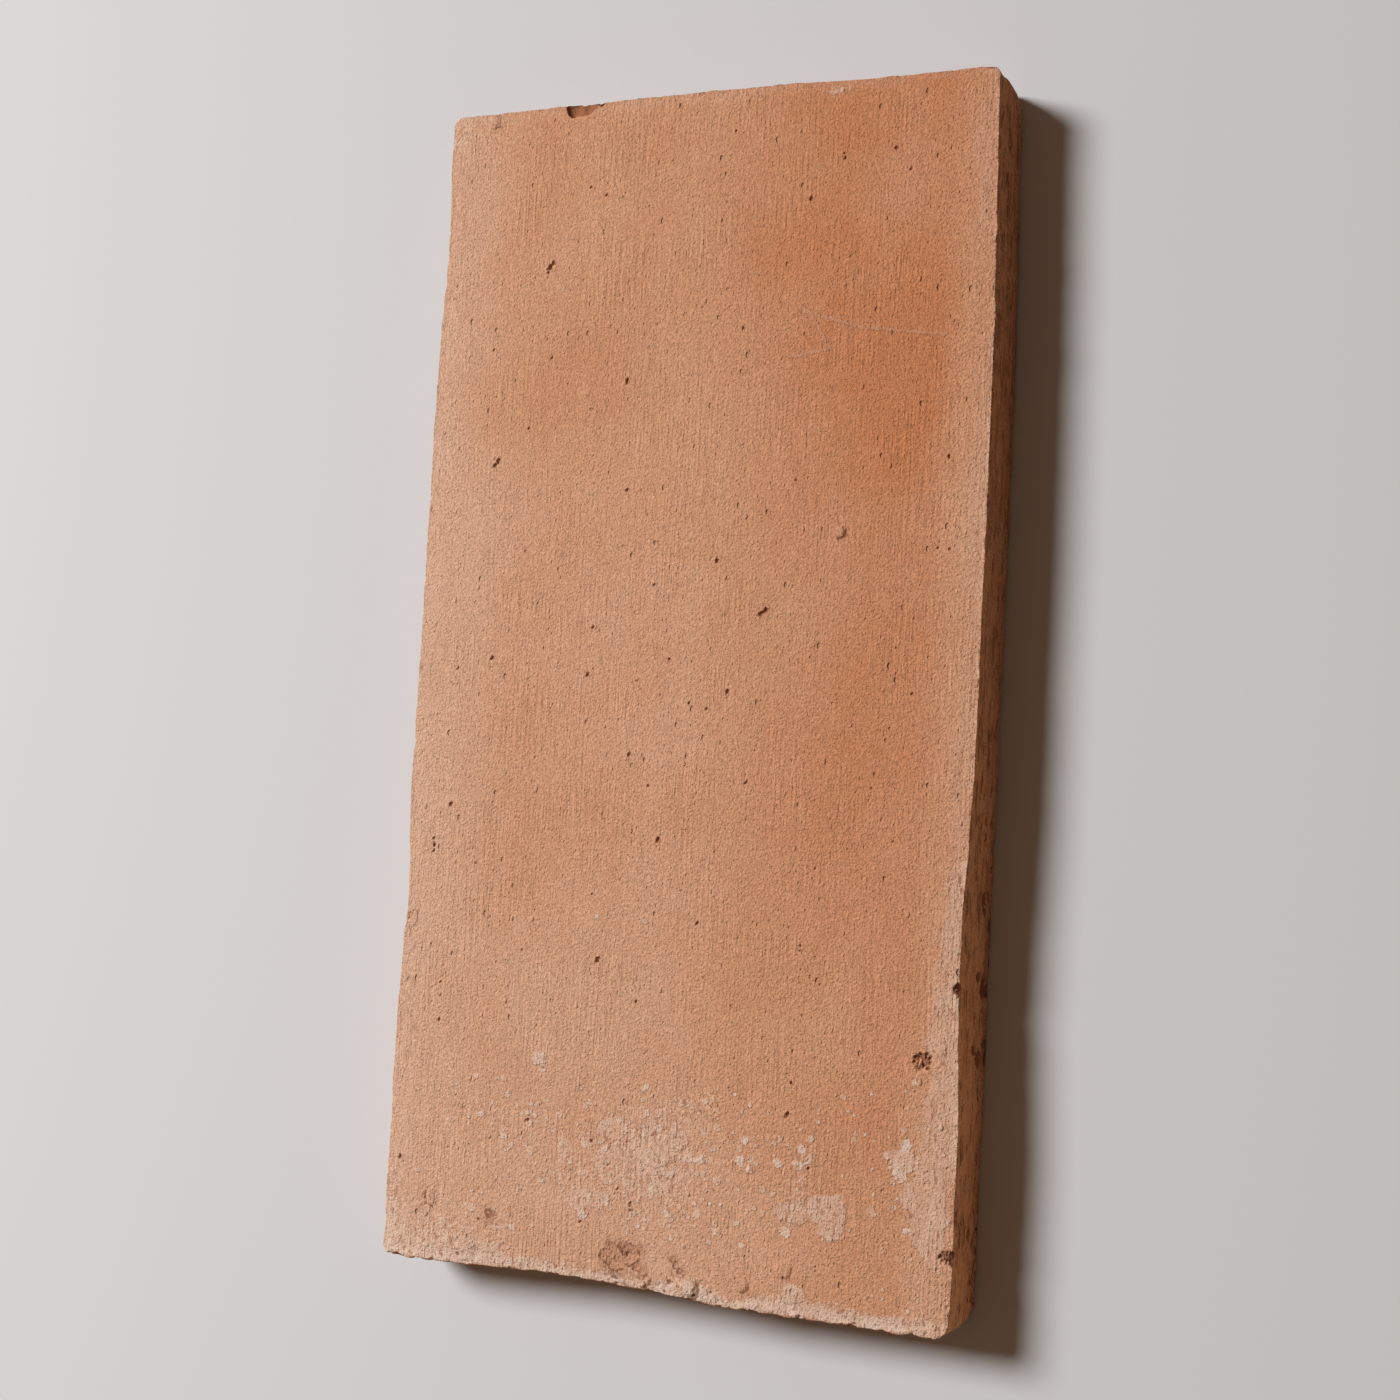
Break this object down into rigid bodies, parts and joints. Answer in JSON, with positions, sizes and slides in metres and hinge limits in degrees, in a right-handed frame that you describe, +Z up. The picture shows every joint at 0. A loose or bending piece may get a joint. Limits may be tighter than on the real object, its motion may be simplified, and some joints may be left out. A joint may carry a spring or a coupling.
{
  "type": "terracotta floor tile",
  "caption": "Rectangular fired clay floor tile with wavy hand-cut edges, worn arrises, a chipped end, small pits and a flat bed.",
  "frame": {"origin": "middle of the bed, the flat underside that rests on the floor", "axes": "+X across the tile, +Y along its length towards the end with the broad chip, +Z up through the thickness to the wear face"},
  "size_m": [0.204, 0.401, 0.0285],
  "materials": {
    "terracotta": "unglazed, matt, sandy"
  },
  "bodies": {
    "root": {"tile": "terracotta"}
  },
  "joints": []
}
